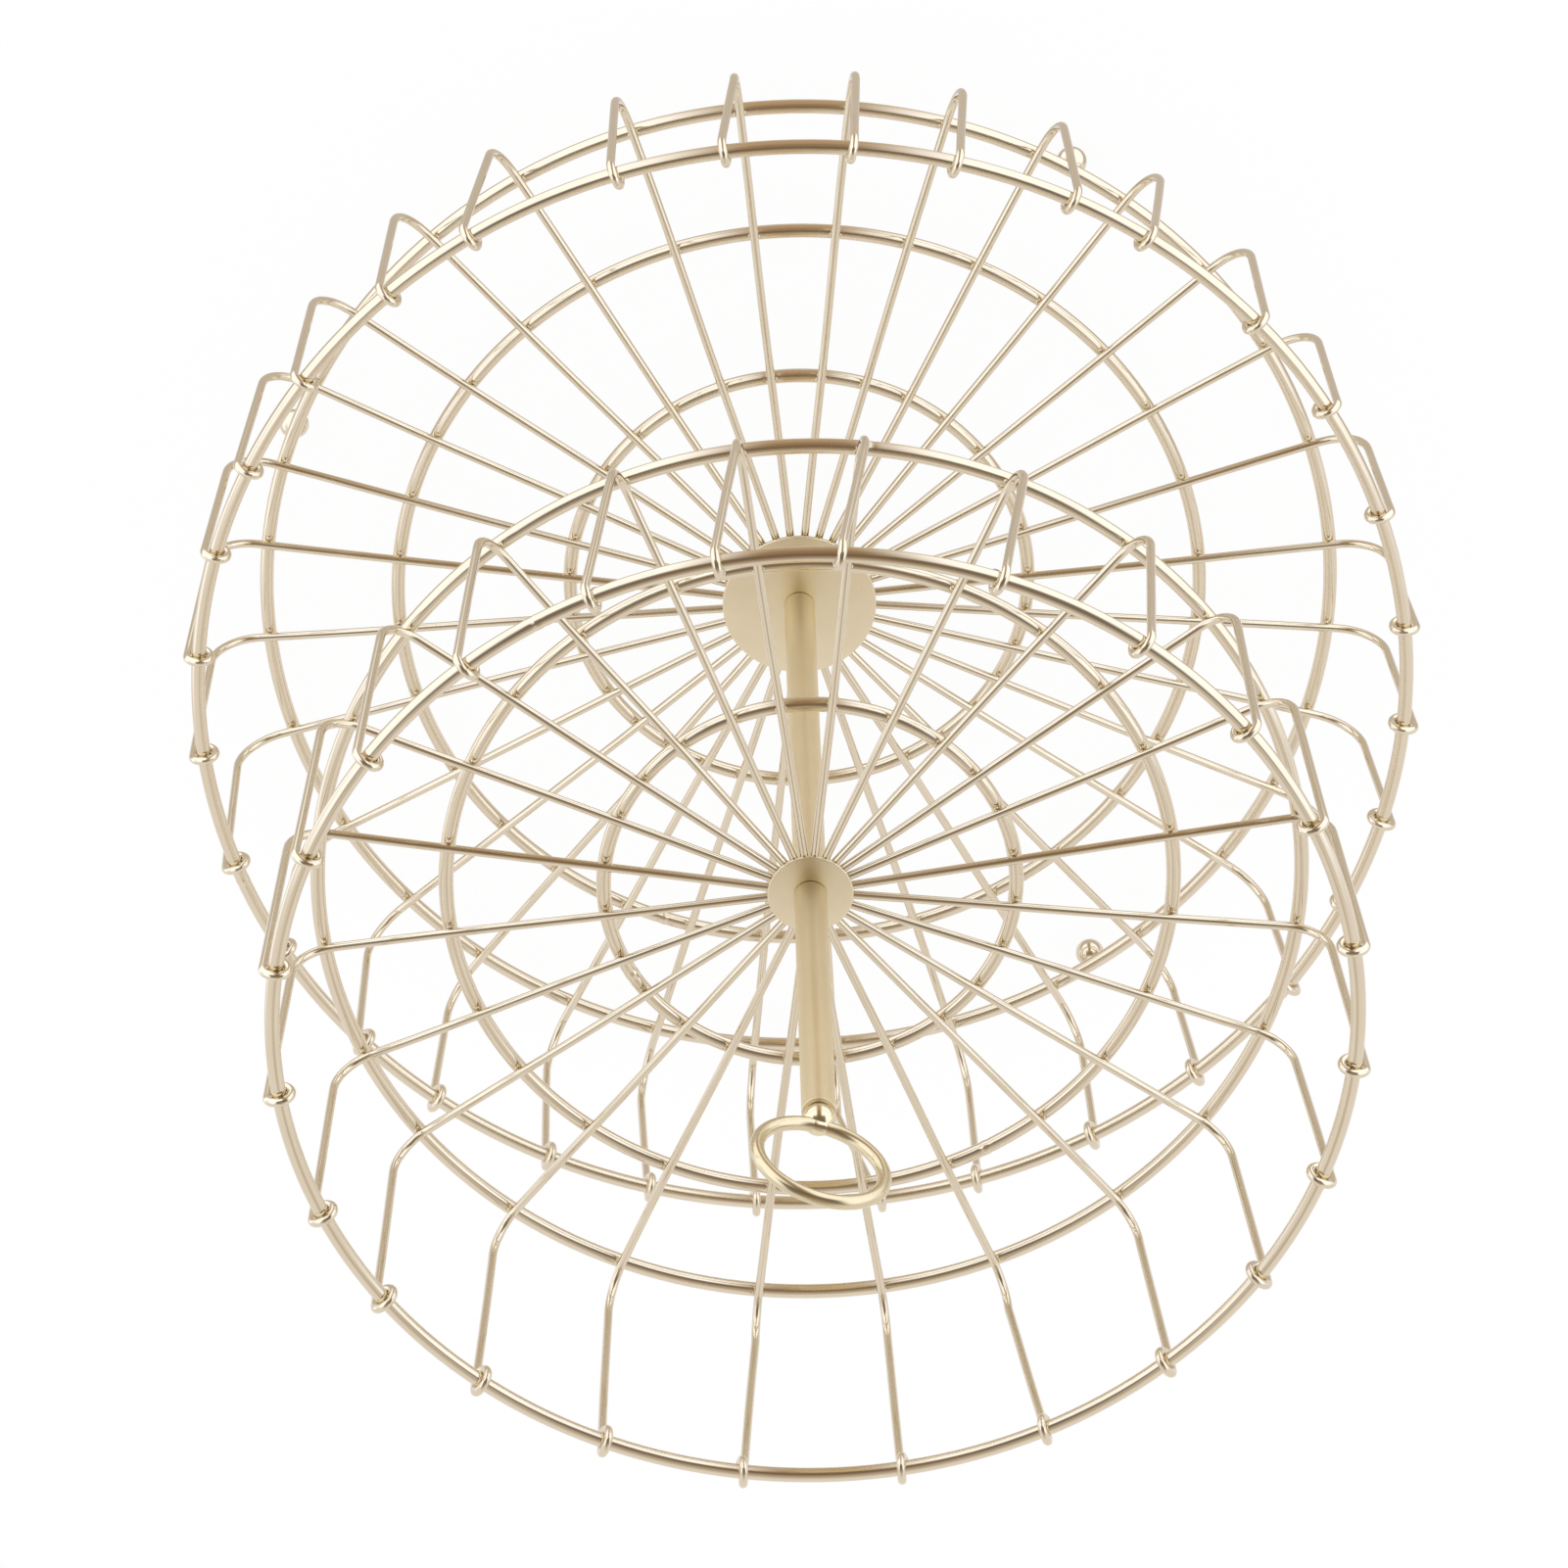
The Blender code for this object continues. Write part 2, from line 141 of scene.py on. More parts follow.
def skin(name, rings, closed=False, poles=None):
    """Makes a mesh from rows of points round a path.

    rings has the shape (rows, points in a row, 3). Neighbouring rows are joined by
    four-sided faces. A closed skin joins its last row to its first; otherwise poles are
    the two points that close its ends with fans. The UV map is (row, point) in shares.
    """
    rows, sides = rings.shape[:2]
    row = np.arange(rows if closed else rows - 1)[:, None]
    side = np.arange(sides)[None, :]
    following = (row + 1) % rows
    beside = (side + 1) % sides
    faces = np.stack(
        [row * sides + side, row * sides + beside, following * sides + beside, following * sides + side], -1
    ).reshape(-1, 4)
    spots = np.stack(
        [np.stack([(row + du) / rows + 0 * side, (side + dv) / sides + 0 * row], -1)
         for du, dv in ((0, 0), (0, 1), (1, 1), (1, 0))], 2
    ).reshape(-1, 2)
    points = rings.reshape(-1, 3)
    corner_lists = faces.tolist()
    if poles is not None:
        start, end = len(points), len(points) + 1
        points = np.concatenate([points, np.asarray(poles, float)])
        turn = np.arange(sides)
        last = (rows - 1) * sides
        first_fan = np.stack([0 * turn + start, (turn + 1) % sides, turn], -1)
        last_fan = np.stack([0 * turn + end, last + turn, last + (turn + 1) % sides], -1)
        corner_lists += first_fan.tolist() + last_fan.tolist()
        round_share = np.stack([turn / sides, (turn + 1) / sides, turn / sides], -1)
        ends = [np.stack([0 * round_share + v, round_share], -1).reshape(-1, 2) for v in (0.0, 1.0)]
        spots = np.concatenate([spots] + ends)
    mesh = bpy.data.meshes.new(name)
    mesh.from_pydata(points.tolist(), [], corner_lists)
    layer = mesh.uv_layers.new(name="around")
    layer.data.foreach_set("uv", spots.astype(np.float32).ravel())
    mesh.shade_smooth()
    return mesh


def piece(name, mesh, finish, body, nodes):
    """Puts a mesh in the scene with its finish, its body and the nodes that it stands for."""
    thing = bpy.data.objects.new(name, mesh)
    bpy.context.scene.collection.objects.link(thing)
    mesh.materials.append(finish)
    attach(thing, body)
    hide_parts(*nodes)


def round_rows(path, radii, reference, sides, closed=False):
    """Returns circles of points square to a path.

    Each circle is centre + radius (cos v across + sin v over), where across is the
    reference direction with its share along the path taken off.
    """
    if closed:
        along = unit(np.roll(path, -1, 0) - np.roll(path, 1, 0))
    else:
        along = unit(np.gradient(path, axis=0))
    across = unit(reference - (reference * along).sum(-1, keepdims=True) * along)
    over = np.cross(along, across)
    turn = TAU * np.arange(sides) / sides
    spread = across[:, None] * np.cos(turn)[None, :, None] + over[:, None] * np.sin(turn)[None, :, None]
    return path[:, None] + radii[:, None, None] * spread


def lathe(name, profile, steps=lathe_steps):
    """Turns a profile of (radius, height) points, from its top pole down, about the Z axis."""
    profile = np.asarray(profile, float)
    turn = TAU * np.arange(steps) / steps
    body = profile[1:-1]
    rings = np.stack(
        [body[:, 0, None] * np.cos(turn), -body[:, 0, None] * np.sin(turn), body[:, 1, None] + 0 * turn], -1
    )
    poles = [(0.0, 0.0, profile[0, 1]), (0.0, 0.0, profile[-1, 1])]
    return skin(name, rings, poles=poles)


def arc_points(centre, radius, start, end, steps):
    """Returns centre + radius (cos a, sin a) for angles a from start to end."""
    angle = np.linspace(start, end, steps + 1)
    return np.stack([centre[0] + radius * np.cos(angle), centre[1] + radius * np.sin(angle)], -1)


# Rings

def wire_ring_mesh(name, centre, radius, wire, steps, seam_turn, upright_turn=None):
    """Makes a closed ring of round wire with the low bead of its butt weld.

    The path is a circle whose points lie closer together near the seam, at pi t^crowding
    for even shares t. The wire's radius is
    wire / 2 (1 + bead exp(-(d / width)^2) - notch exp(-((|d| - 2 width) / width)^2)),
    where d is the distance along the circle from the seam.
    """
    bead_share = 0.035
    notch_share = 0.02
    notch_place = 2
    bead_width = 0.6 * MM
    crowding = 1.6
    even = np.linspace(-1, 1, steps, endpoint=False)
    near = np.sign(even) * np.abs(even) ** crowding * math.pi
    turn = seam_turn + near
    distance = np.abs(near) * radius / bead_width
    bead = bead_share * np.exp(-distance**2)
    notch = notch_share * np.exp(-((distance - notch_place) ** 2))
    radii = wire / 2 * (1 + bead - notch)
    path = np.stack([radius * np.cos(turn), radius * np.sin(turn), 0 * turn], -1)
    rows = round_rows(path, radii, np.array([0.0, 0.0, 1.0]), ring_sides, closed=True)
    if upright_turn is not None:
        stand = Matrix.Rotation(upright_turn, 3, "Z") @ Matrix.Rotation(math.pi / 2, 3, "X")
        rows = rows @ np.array(stand).T
    return skin(name, rows + np.array(centre), closed=True)


def ring_pieces(basket, finish, seam_turns):
    """Makes a basket's four rings in place of the frame's."""
    for part, seam in seam_turns:
        centre, radius = basket.rings[part]
        name = "%s_%s_ring" % (basket.name, part)
        steps = small_ring_steps if part == "inner" else ring_steps
        mesh = wire_ring_mesh(name + "_wire", centre, radius, ring_wire, steps, math.radians(seam))
        piece(name + "_wire", mesh, finish, "basket", [name])


# Spokes

def spoke_path(basket, lean, side):
    """Returns points along one spoke as (out from its inner end, sideways, up).

    It has a level run, an arc of the bend's radius, a straight riser that touches the
    circles of the bend and of the wrap on their outer sides and leans sideways, a helix
    of the wrap's radius round the rim, and the straight stub that it ends in.
    """
    bend_centre = (basket.bend_start - basket.end, basket.spoke_height + basket.bend_radius)
    rim_centre = (math.sqrt(basket.rim_radius**2 - lean**2) - basket.end, basket.rim_height)
    run = rim_centre[0] - bend_centre[0]
    rise = rim_centre[1] - bend_centre[1]
    tilt = math.atan2(rise, run) + math.asin((basket.bend_radius - wrap_radius) / math.hypot(run, rise))
    outer = tilt - math.pi / 2
    last = outer + wrap_turn
    level_run = np.linspace(0, bend_centre[0], level_steps + 1)[:-1]
    level = np.stack([level_run, np.full(level_steps, basket.spoke_height)], -1)
    bend = arc_points(bend_centre, basket.bend_radius, -math.pi / 2, outer, bend_steps)
    wrap = arc_points(rim_centre, wrap_radius, outer, last, wrap_steps)
    stub_share = np.linspace(0, 1, stub_steps + 1)[1:, None]
    stub = wrap[-1] + stub_share * wrap_stub * np.array([-math.sin(last), math.cos(last)])
    rise_share = np.linspace(0, 1, riser_steps + 1)[1:-1, None]
    riser = bend[-1] * (1 - rise_share) + wrap[0] * rise_share
    flat = np.concatenate([level, bend, riser, wrap, stub])
    sideways = np.concatenate([
        np.zeros(len(level) + len(bend)), lean * rise_share[:, 0],
        lean + side * wrap_side_step * np.linspace(0, 1, len(wrap)) ** wrap_side_growth,
        np.full(len(stub), lean + side * wrap_side_step),
    ])
    return np.stack([flat[:, 0], sideways, flat[:, 1]], -1)


def spoke_places(basket):
    """Returns each spoke's inner end, its heading, its lean at the rim and its wrap's side."""
    spacing = TAU / basket.count
    even = basket.turn + np.arange(basket.count) * spacing
    laid = even + basket.place_shares * spacing
    end = np.stack([np.cos(even), np.sin(even)], -1) * basket.end
    crossing = np.stack([np.cos(laid), np.sin(laid)], -1) * basket.base_radius
    heading = np.arctan2(crossing[:, 1] - end[:, 1], crossing[:, 0] - end[:, 0])
    lean = basket.lean_shares * spacing * basket.rim_radius
    return end, heading, lean, np.where(np.cos(even) > 0, 1.0, -1.0)


def spoke_mesh(name, path, end, heading):
    """Makes a spoke of round wire along its path, with its ends cut off flat.

    A slow sideways wave is added, as hand-bent wire has: its height times
    sin(TAU waves s + phase) sin(pi s), where s is the share of the wire's length.
    """
    wave_height = 0.15 * MM
    fewest_waves, most_waves = 1.2, 2.4
    burr = 0.08 * MM
    sharp_angle = math.radians(40)
    length = np.concatenate([[0], np.cumsum(np.linalg.norm(np.diff(path, axis=0), axis=1))])
    share = length / length[-1]
    phase = rng.uniform(0, TAU)
    bent = path.copy()
    waves = rng.uniform(fewest_waves, most_waves)
    bent[:, 1] += wave_height * np.sin(TAU * share * waves + phase) * np.sin(math.pi * share)
    first = bent[0] + burr * unit(bent[0] - bent[1])
    last = bent[-1] + burr * unit(bent[-1] - bent[-2])
    bent = np.concatenate([first[None], bent, last[None]])
    radii = np.full(len(bent), spoke_wire / 2)
    radii[[0, -1]] -= burr
    rows = round_rows(bent, radii, np.array([0.0, 1.0, 0.0]), spoke_sides)
    c, s = math.cos(heading), math.sin(heading)
    turn = np.array([[c, -s, 0.0], [s, c, 0.0], [0.0, 0.0, 1.0]])
    place = np.array([end[0], end[1], 0.0])
    mesh = skin(name, rows @ turn.T + place, poles=np.stack([bent[0], bent[-1]]) @ turn.T + place)
    mesh.set_sharp_from_angle(angle=sharp_angle)
    return mesh


def spoke_pieces(basket, finish):
    """Makes all spokes of a basket in place of the frame's."""
    ends, headings, leans, sides = spoke_places(basket)
    for i in range(basket.count):
        name = "%s_spoke_%02d" % (basket.name, i + 1)
        node = name if basket.name == "lower" else "upper_hub_and_spokes"
        path = spoke_path(basket, leans[i], sides[i])
        mesh = spoke_mesh(name + "_wire", path, ends[i], headings[i])
        piece(name + "_wire", mesh, finish, "basket", [node])


# Welds

def weld_beads(name, places, headings, reach):
    """Makes one mesh of small rough beads, each a lumpy ball of few faces.

    A bead is a unit ball on a grid of latitude and longitude whose radius varies by a
    seeded share, scaled by reach = (along, across, up) and turned to its heading.
    """
    rows, sides = 4, 7
    least_lump, most_lump = 0.7, 1.2
    latitude = (np.arange(rows) + 1) / (rows + 1) * math.pi
    longitude = TAU * np.arange(sides) / sides
    grid = np.stack([
        np.sin(latitude)[:, None] * np.cos(longitude),
        np.sin(latitude)[:, None] * np.sin(longitude),
        np.cos(latitude)[:, None] + 0 * longitude,
    ], -1).reshape(-1, 3)
    ball = np.concatenate([grid, [[0, 0, 1.0], [0, 0, -1.0]]])
    count = len(places)
    lumps = ball[None] * rng.uniform(least_lump, most_lump, (count, len(ball), 1)) * np.array(reach)
    c, s = np.cos(headings)[:, None], np.sin(headings)[:, None]
    along, across, up = lumps[..., 0], lumps[..., 1], lumps[..., 2]
    turned = np.stack([c * along - s * across, s * along + c * across, up], -1)
    points = (turned + places[:, None]).reshape(-1, 3)
    row = np.arange(rows - 1)[:, None]
    side = np.arange(sides)[None]
    beside = (side + 1) % sides
    quads = np.stack(
        [row * sides + side, (row + 1) * sides + side, (row + 1) * sides + beside, row * sides + beside], -1
    ).reshape(-1, 4)
    turn = np.arange(sides)
    top = np.stack([0 * turn + rows * sides, turn, (turn + 1) % sides], -1)
    last = (rows - 1) * sides
    bottom = np.stack([0 * turn + rows * sides + 1, last + (turn + 1) % sides, last + turn], -1)
    shift = (np.arange(count) * len(ball))[:, None, None]
    faces = (quads[None] + shift).reshape(-1, 4).tolist()
    for fan in (top, bottom):
        faces += (fan[None] + shift).reshape(-1, 3).tolist()
    mesh = bpy.data.meshes.new(name)
    mesh.from_pydata(points.tolist(), [], faces)
    mesh.shade_smooth()
    return mesh


def ring_welds(basket, finish):
    """Makes the two beads at each crossing of a spoke and a floor ring.

    The crossing is where the spoke's straight line meets the ring's circle, found from
    the line's distance to the circle's centre.
    """
    bead_reach = (0.56 * MM, 0.34 * MM, 0.38 * MM)
    off_spoke = 0.1 * MM
    over_ring = 0.2 * MM
    scatter_across = 0.1
    scatter_along = 0.4
    ends, headings, _, _ = spoke_places(basket)
    out = np.stack([np.cos(headings), np.sin(headings)], -1)
    aside = np.stack([-out[:, 1], out[:, 0]], -1)
    for part in basket.floor_rings:
        centre, radius = basket.rings[part]
        start = ends - np.array([centre.x, centre.y])
        along = (start * out).sum(-1)
        run = -along + np.sqrt(along**2 - (start**2).sum(-1) + radius**2)
        crossing = ends + run[:, None] * out
        spots = []
        for side in (-1, 1):
            off = side * (spoke_wire / 2 + off_spoke) + rng.uniform(-scatter_across, scatter_across, len(run)) * MM
            slip = rng.uniform(-scatter_along, scatter_along, (len(run), 1))
            flat = crossing + aside * off[:, None] + out * slip * MM
            height = np.full(len(run), centre.z + ring_wire / 2 + over_ring)
            spots.append(np.concatenate([flat, height[:, None]], -1))
        name = "%s_%s_welds" % (basket.name, part)
        mesh = weld_beads(name, np.concatenate(spots), np.tile(headings, 2), bead_reach)
        piece(name, mesh, finish, "basket", ["%s_%s_ring" % (basket.name, part)])


# Hub plates and posts

def plate_profile(bore, radius, bottom, top):
    """Returns a plate's outline round its bore, with its outer edges rounded."""
    ease = 0.3 * MM
    edge_steps = 5
    upper_edge = arc_points((radius - ease, top - ease), ease, math.pi / 2, 0, edge_steps)
    lower_edge = arc_points((radius - ease, bottom + ease), ease, 0, -math.pi / 2, edge_steps)
    return np.concatenate([[(bore, bottom), (bore, top)], upper_edge, lower_edge])


def ring_lathe(name, profile, steps=lathe_steps):
    """Turns a closed profile of (radius, height) points about the Z axis."""
    turn = TAU * np.arange(steps) / steps
    rings = np.stack(
        [profile[:, 0, None] * np.cos(turn), -profile[:, 0, None] * np.sin(turn), profile[:, 1, None] + 0 * turn], -1
    )
    mesh = skin(name, rings, closed=True)
    mesh.set_sharp_from_angle(angle=turned_sharp_angle)
    return mesh


def hub_plates(finish):
    """Makes both hub plates; the upper one shares its node with the upper spokes."""
    bore = 2.3 * MM
    past_spoke_ends = 2.0 * MM
    low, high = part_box("lower_hub_plate")
    mesh = ring_lathe("lower_hub_disc", plate_profile(bore, high.x, low.z, high.z))
    piece("lower_hub_disc", mesh, finish, "basket", ["lower_hub_plate"])
    radius = upper.end + past_spoke_ends
    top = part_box("upper_post")[0].z - seat_gap
    mesh = ring_lathe("upper_hub_disc", plate_profile(bore, radius, top - plate_thickness, top))
    piece("upper_hub_disc", mesh, finish, "basket", ["upper_hub_and_spokes"])


def post_side(radius, top, bottom, rows):
    """Returns the outline of a post's side, from its rounded top edge to its rounded bottom edge."""
    edge_steps = 4
    upper_edge = arc_points((radius - post_ease, top - post_ease), post_ease, math.pi / 2, 0, edge_steps)
    lower_edge = arc_points((radius - post_ease, bottom + post_ease), post_ease, 0, -math.pi / 2, edge_steps)
    heights = np.linspace(top - 2 * post_ease, bottom + 2 * post_ease, rows)
    return np.concatenate([upper_edge, np.stack([np.full(rows, radius), heights], -1), lower_edge])


def post_pieces(finish):
    """Makes both post lengths with eased ends, and the spigot of the lower one."""
    lower_rows, upper_rows = 30, 20
    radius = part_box("upper_post")[1].x
    low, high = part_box("lower_post")
    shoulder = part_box("upper_post")[0].z - 2 * seat_gap - plate_thickness
    spigot = [
        (0.0, high.z), (spigot_radius - post_ease, high.z), (spigot_radius, high.z - post_ease),
        (spigot_radius, shoulder),
    ]
    profile = np.concatenate([spigot, post_side(radius, shoulder, low.z, lower_rows), [(0.0, low.z)]])
    mesh = lathe("lower_post_length", profile)
    mesh.set_sharp_from_angle(angle=turned_sharp_angle)
    piece("lower_post_length", mesh, finish, "basket", ["lower_post"])
    low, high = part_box("upper_post")
    profile = np.concatenate([[(0.0, high.z)], post_side(radius, high.z, low.z, upper_rows), [(0.0, low.z)]])
    mesh = lathe("upper_post_length", profile)
    mesh.set_sharp_from_angle(angle=turned_sharp_angle)
    piece("upper_post_length", mesh, finish, "basket", ["upper_post"])


# Handle

def squashed_ball(name, centre, reach, turn_about_z=0.0, steps=40):
    """Makes a ball with three reaches: centre + (a sin p cos q, b sin p sin q, c cos p)."""
    polar = np.linspace(0, math.pi, steps // 2 + 1)[1:-1, None]
    round_angle = TAU * np.arange(steps)[None] / steps
    rings = np.stack([
        reach[0] * np.sin(polar) * np.cos(round_angle),
        -reach[1] * np.sin(polar) * np.sin(round_angle),
        reach[2] * np.cos(polar) + 0 * round_angle,
    ], -1)
    poles = np.array([(0, 0, reach[2]), (0, 0, -reach[2])])
    c, s = math.cos(turn_about_z), math.sin(turn_about_z)
    turn = np.array([[c, -s, 0.0], [s, c, 0.0], [0.0, 0.0, 1.0]])
    place = np.array(centre)
    return skin(name, rings @ turn.T + place, poles=poles @ turn.T + place)


def handle_pieces(ball_finish, ring_finish):
    """Makes the finial ball, the brazed bead round the handle's seat, and the handle ring."""
    ball_seat_height = 2.35 * MM
    ball_rows = 40
    braze_reach = (3.9 * MM, 1.75 * MM, 1.85 * MM)
    handle_turn = math.radians(-16.5)
    handle_seam = math.radians(-90)
    handle_wire = 3.3 * MM
    handle_radius = 14.65 * MM
    low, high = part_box("handle_ring")
    handle_centre = (low.z + high.z) / 2
    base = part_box("upper_post")[1].z + seat_gap
    spigot_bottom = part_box("finial_ball")[0].z
    cut_angle = -math.asin(ball_seat_height / ball_radius)
    ball = arc_points((0.0, base + ball_seat_height), ball_radius, math.pi / 2, cut_angle, ball_rows)
    spigot = [(spigot_radius, base), (spigot_radius, spigot_bottom), (0.0, spigot_bottom)]
    profile = np.concatenate([ball, spigot])
    mesh = lathe("finial_ball_turned", profile)
    mesh.set_sharp_from_angle(angle=turned_sharp_angle)
    piece("finial_ball_turned", mesh, ball_finish, "handle", ["finial_ball"])
    seat = (0.0, 0.0, handle_centre - handle_radius)
    bead = squashed_ball("handle_braze", seat, braze_reach, handle_turn)
    piece("handle_braze", bead, ball_finish, "handle", ["finial_ball"])
    ring = wire_ring_mesh(
        "handle_ring_wire", (0.0, 0.0, handle_centre), handle_radius, handle_wire, small_ring_steps,
        handle_seam, handle_turn,
    )
    piece("handle_ring_wire", ring, ring_finish, "handle", ["handle_ring"])


# Feet

def foot_pieces(finish):
    """Makes the three ball feet with the small flat each stands on, and their weld beads."""
    flat_depth = 0.3 * MM
    ball_rows = 36
    weld_reach = (2.3 * MM, 1.5 * MM, 0.9 * MM)
    ring_underside = lower.rings["base"][0].z - ring_wire / 2
    height = ball_radius - flat_depth
    cut_angle = -math.asin(height / ball_radius)
    ball = arc_points((0.0, height), ball_radius, math.pi / 2, cut_angle, ball_rows)
    profile = np.concatenate([ball, [(0.0, 0.0)]])
    for i in range(3):
        node = "foot_ball_%d" % (i + 1)
        low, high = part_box(node)
        middle = (low + high) / 2
        mesh = lathe(node + "_turned", profile, foot_steps)
        mesh.transform(Matrix.Translation((middle.x, middle.y, 0.0)))
        piece(node + "_turned", mesh, finish, "basket", [node])
        around = math.atan2(middle.y, middle.x) + math.pi / 2
        weld_place = (middle.x, middle.y, ring_underside)
        bead = squashed_ball(node + "_weld", weld_place, weld_reach, around, foot_weld_steps)
        piece(node + "_weld", bead, finish, "basket", [node])


# Finishes

def node_maker(material):
    """Returns functions that add a node and link two sockets in a material."""
    material.use_nodes = True
    tree = material.node_tree

    def add(kind, **settings):
        node = tree.nodes.new(kind)
        for key, value in settings.items():
            setattr(node, key, value)
        return node

    def link(source, target):
        tree.links.new(source, target)

    return tree, add, link


def gold_finish(name, light, deep, roughness, streaks, streak_depth):
    """Makes a satin gold plating: two close golds, uneven gloss and fine lengthwise lines.

    The lines are noise on the piece's own UV map, with streaks giving the counts along it
    and round it, as drawn wire and turned rod have. The clouding is noise on object
    coordinates. Both noises, half each, set the gold between deep and light, and the gloss.
    """
    noise_detail = 3.0
    clouds_per_metre = 90.0
    deep_below, light_above = 0.3, 0.6
    gloss_below, gloss_above = 0.3, 0.7
    gloss_spread = 0.1
    line_height = 0.05 * MM
    noise_share = 0.5
    material = bpy.data.materials.new(name)
    tree, add, link = node_maker(material)
    shader = tree.nodes["Principled BSDF"]
    shader.inputs["Metallic"].default_value = 1.0
    where = add("ShaderNodeTexCoord")
    scale = add("ShaderNodeMapping")
    link(where.outputs["UV"], scale.inputs["Vector"])
    scale.inputs["Scale"].default_value = (*streaks, 1)
    lines = add("ShaderNodeTexNoise")
    lines.inputs["Scale"].default_value = 1.0
    lines.inputs["Detail"].default_value = noise_detail
    link(scale.outputs["Vector"], lines.inputs["Vector"])
    cloud = add("ShaderNodeTexNoise")
    cloud.inputs["Scale"].default_value = clouds_per_metre
    cloud.inputs["Detail"].default_value = noise_detail
    link(where.outputs["Object"], cloud.inputs["Vector"])
    colour = add("ShaderNodeValToRGB")
    colour.color_ramp.elements[0].position = deep_below
    colour.color_ramp.elements[0].color = (*deep, 1)
    colour.color_ramp.elements[1].position = light_above
    colour.color_ramp.elements[1].color = (*light, 1)
    blend = add("ShaderNodeMath", operation="MULTIPLY_ADD")
    link(lines.outputs["Fac"], blend.inputs[0])
    blend.inputs[1].default_value = noise_share
    half = add("ShaderNodeMath", operation="MULTIPLY")
    link(cloud.outputs["Fac"], half.inputs[0])
    half.inputs[1].default_value = noise_share
    link(half.outputs["Value"], blend.inputs[2])
    link(blend.outputs["Value"], colour.inputs["Fac"])
    link(colour.outputs["Color"], shader.inputs["Base Color"])
    gloss = add("ShaderNodeMapRange")
    gloss.inputs["From Min"].default_value = gloss_below
    gloss.inputs["From Max"].default_value = gloss_above
    gloss.inputs["To Min"].default_value = roughness * (1 - gloss_spread)
    gloss.inputs["To Max"].default_value = roughness * (1 + gloss_spread)
    link(blend.outputs["Value"], gloss.inputs["Value"])
    link(gloss.outputs["Result"], shader.inputs["Roughness"])
    bump = add("ShaderNodeBump")
    bump.inputs["Strength"].default_value = streak_depth
    bump.inputs["Distance"].default_value = line_height
    link(lines.outputs["Fac"], bump.inputs["Height"])
    link(bump.outputs["Normal"], shader.inputs["Normal"])
    return material


def zinc_finish():
    """Makes the plated steel of the screw and its washer, which have no UV map: only the clouding shows."""
    return gold_finish(
        "zinc_plate", light=(0.74, 0.75, 0.77), deep=(0.6, 0.61, 0.64),
        roughness=0.3, streaks=(20.0, 20.0), streak_depth=0.1,
    )


# Studio: the ways from the basket to the camera, to the picture's top and to its left side

camera_away = Vector((0.0, 0.47, 0.88)).normalized()
picture_up = Vector((0.0, 0.88, -0.47)).normalized()
picture_left = Vector((-1.0, 0.0, 0.0))


def plain_world():
    """Makes the plain white light all round."""
    world = bpy.data.worlds.new("white_room")
    bpy.context.scene.world = world
    world.use_nodes = True
    world.node_tree.nodes["Background"].inputs["Color"].default_value = (1.0, 1.0, 1.0, 1.0)


def tent_levels():
    """Returns the tent's columns as (side, two side angles, stops of (height angle, colour)).

    The height angle runs from the camera up over the top of the picture, and below zero
    down under its foot. The side angle runs out from the middle to both sides, or to the
    left alone. A column holds from its second side angle on, and meets the one before it
    softly from its first.
    """
    pale = (0.98, 0.95, 0.98)
    bright = (1.5, 1.56, 1.75)
    dull = (0.7, 0.64, 0.6)
    middle = (
        (-180, pale), (-74, pale), (-60, (0.82, 0.76, 0.72)), (-50, (0.66, 0.6, 0.55)), (-34, (0.52, 0.44, 0.38)),
        (-18, (0.38, 0.29, 0.22)), (-8, (0.25, 0.18, 0.12)), (12, (0.25, 0.18, 0.12)), (22, (0.34, 0.24, 0.16)),
        (48, (0.41, 0.295, 0.2)), (60, (0.53, 0.375, 0.255)), (70, (0.6, 0.43, 0.29)), (98, (0.6, 0.44, 0.3)),
        (112, dull), (150, dull), (165, pale),
    )
    beside = (
        (-180, pale), (-60, pale), (-46, (0.9, 0.87, 0.88)), (-40, (0.72, 0.69, 0.69)), (-29, (0.35, 0.32, 0.3)),
        (-14, (0.24, 0.2, 0.175)), (8, (0.26, 0.225, 0.2)), (16, (0.62, 0.62, 0.64)), (24, bright), (108, bright),
        (119, dull), (148, dull), (158, pale),
    )
    outer = (
        (-180, pale), (-46, pale), (-32, (1.2, 1.22, 1.32)), (-22, bright), (106, bright), (118, dull), (148, dull),
        (158, pale),
    )
    side = ((-180, (1.1, 1.12, 1.24)),)
    window = (
        (-180, bright), (-125, bright), (-85, (1.15, 1.14, 1.22)), (-60, (1.08, 1.08, 1.18)),
        (-20, (1.08, 1.08, 1.18)), (20, (1.2, 1.2, 1.3)), (50, bright),
    )
    return (
        ("both", 0, 0, middle), ("both", 5, 21, beside), ("both", 28, 42, outer), ("both", 70, 84, side),
        ("left", 62, 76, window),
    )


